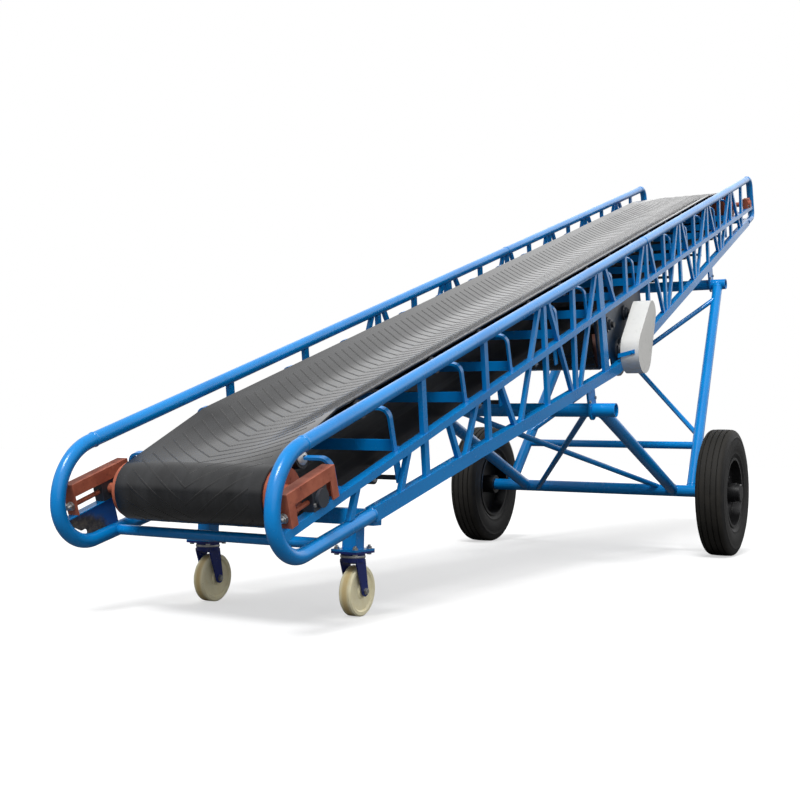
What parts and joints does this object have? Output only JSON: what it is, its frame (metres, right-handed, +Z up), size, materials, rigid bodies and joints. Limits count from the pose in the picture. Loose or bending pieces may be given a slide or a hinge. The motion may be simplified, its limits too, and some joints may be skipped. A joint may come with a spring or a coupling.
{
  "type": "mobile belt conveyor",
  "caption": "Inclined troughed belt conveyor on a tube and angle truss, carried by road wheels near the middle and swivel casters at the low tail end.",
  "frame": {"origin": "on the ground, midway along the overall length and width", "axes": "+X along the ground from the low tail end to the high head end, +Z up, +Y to the left side"},
  "size_m": [7.0717, 1.904, 3.0264],
  "materials": {
    "blue_paint": "gloss enamel",
    "navy_paint": "gloss enamel",
    "belt_rubber": "moulded chevron cover, satin",
    "tyre_rubber": "matt rubber",
    "rim_black": "satin enamel",
    "nylon": "cast nylon",
    "red_oxide": "flat primer",
    "roller_black": "satin enamel",
    "machine_dark": "painted casting",
    "guard_grey": "satin enamel"
  },
  "bodies": {
    "frame": {"axle": "blue_paint", "belt_carry": "belt_rubber", "belt_return": "belt_rubber", "bend_rollers": "roller_black", "bottom_chord_left": "blue_paint", "bottom_chord_right": "blue_paint", "carry_rollers": "roller_black", "caster_beam": "blue_paint", "caster_mount_left": "blue_paint", "caster_mount_right": "blue_paint", "caster_plate_left": "navy_paint", "caster_plate_right": "navy_paint", "centre_brackets": "blue_paint", "chain_guard": "guard_grey", "drive_drum": "red_oxide", "drive_plates": "blue_paint", "front_cross_braces": "blue_paint", "front_cross_tube": "blue_paint", "front_hangers": "blue_paint", "front_struts": "blue_paint", "head_bearings": "red_oxide", "head_cross_tube": "blue_paint", "head_drum": "red_oxide", "head_loops": "blue_paint", "idler_bars": "blue_paint", "idler_brackets": "blue_paint", "mid_chord_left": "blue_paint", "mid_chord_right": "blue_paint", "motor": "machine_dark", "motor_base": "blue_paint", "rail_left": "blue_paint", "rail_right": "blue_paint", "rear_brace": "blue_paint", "rear_cross_braces": "blue_paint", "rear_cross_tube": "blue_paint", "rear_hangers": "blue_paint", "rear_posts": "blue_paint", "reducer": "machine_dark", "return_hangers": "blue_paint", "return_rollers": "roller_black", "tail_bearings": "machine_dark", "tail_cross_tube": "blue_paint", "tail_drum": "red_oxide", "tail_gusset": "blue_paint", "tail_loop_left": "blue_paint", "tail_loop_right": "blue_paint", "takeup_bridges": "red_oxide", "web_left": "blue_paint", "web_right": "blue_paint"},
    "wheel_right": {"rim_right": "rim_black", "tyre_right": "tyre_rubber"},
    "wheel_left": {"rim_left": "rim_black", "tyre_left": "tyre_rubber"},
    "caster_fork_right": {"caster_fork_right": "navy_paint"},
    "caster_fork_left": {"caster_fork_left": "navy_paint"},
    "caster_wheel_right": {"caster_wheel_right": "nylon"},
    "caster_wheel_left": {"caster_wheel_left": "nylon"}
  },
  "joints": [
    {"name": "wheel_right_spin", "type": "hinge", "parent": "frame", "child": "wheel_right", "pos_m": [0.93712, -0.835, 0.402], "axis": [0, 1, 0], "continuous": true},
    {"name": "caster_right_swivel", "type": "hinge", "parent": "frame", "child": "caster_fork_right", "pos_m": [-2.80588, -0.342, 0.206], "axis": [0, 0, 1], "continuous": true},
    {"name": "caster_right_spin", "type": "hinge", "parent": "caster_fork_right", "child": "caster_wheel_right", "pos_m": [-2.76788, -0.342, 0.095], "axis": [0, 1, 0], "continuous": true},
    {"name": "wheel_left_spin", "type": "hinge", "parent": "frame", "child": "wheel_left", "pos_m": [0.93712, 0.835, 0.402], "axis": [0, 1, 0], "continuous": true},
    {"name": "caster_left_swivel", "type": "hinge", "parent": "frame", "child": "caster_fork_left", "pos_m": [-2.80588, 0.342, 0.206], "axis": [0, 0, 1], "continuous": true},
    {"name": "caster_left_spin", "type": "hinge", "parent": "caster_fork_left", "child": "caster_wheel_left", "pos_m": [-2.76788, 0.342, 0.095], "axis": [0, 1, 0], "continuous": true}
  ]
}
